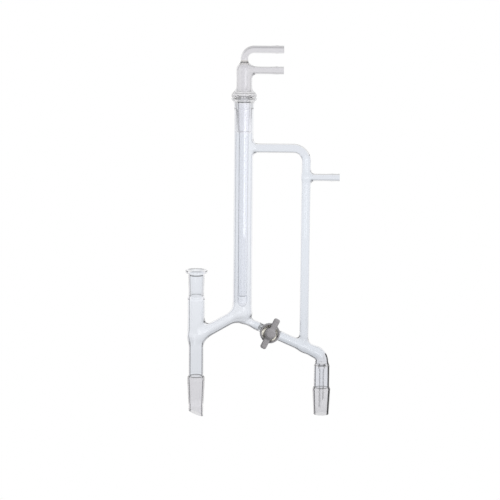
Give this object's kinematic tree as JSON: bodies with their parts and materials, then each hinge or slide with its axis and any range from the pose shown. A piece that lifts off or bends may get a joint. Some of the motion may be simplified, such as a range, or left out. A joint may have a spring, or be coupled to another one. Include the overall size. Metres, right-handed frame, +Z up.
{
  "type": "distillation head",
  "caption": "Blown glass reflux head with a cold finger, thermometer socket, bypass with vacuum nozzle and a take-off stopcock above a receiver joint.",
  "frame": {"origin": "centre of the flask cone's large end, on the left column's axis", "axes": "+Z up along the left column, +X towards the receiver joint, -Y towards the stopcock's handle"},
  "size_m": [0.2064, 0.069, 0.5052],
  "materials": {
    "head_glass": "clear fire-polished borosilicate glass, ground on the cones",
    "finger_glass": "clear fire-polished borosilicate glass, ground on the cone",
    "plug_ptfe": "waxy white PTFE",
    "grey_plastic": "grey moulded plastic, slightly glossy",
    "rubber": "dark rubber"
  },
  "bodies": {
    "head": {"head_glass": "head_glass", "cold_finger": "finger_glass"},
    "stopcock": {"stopcock_plug": "plug_ptfe", "stopcock_handle": "grey_plastic", "stopcock_washer": "plug_ptfe", "stopcock_o_ring": "rubber", "stopcock_nut": "grey_plastic"}
  },
  "joints": [
    {"name": "stopcock_turn", "type": "hinge", "parent": "head", "child": "stopcock", "pos_m": [0.099, 0, 0.0672], "axis": [-0.0425, 0.9945, -0.0955], "continuous": true}
  ]
}
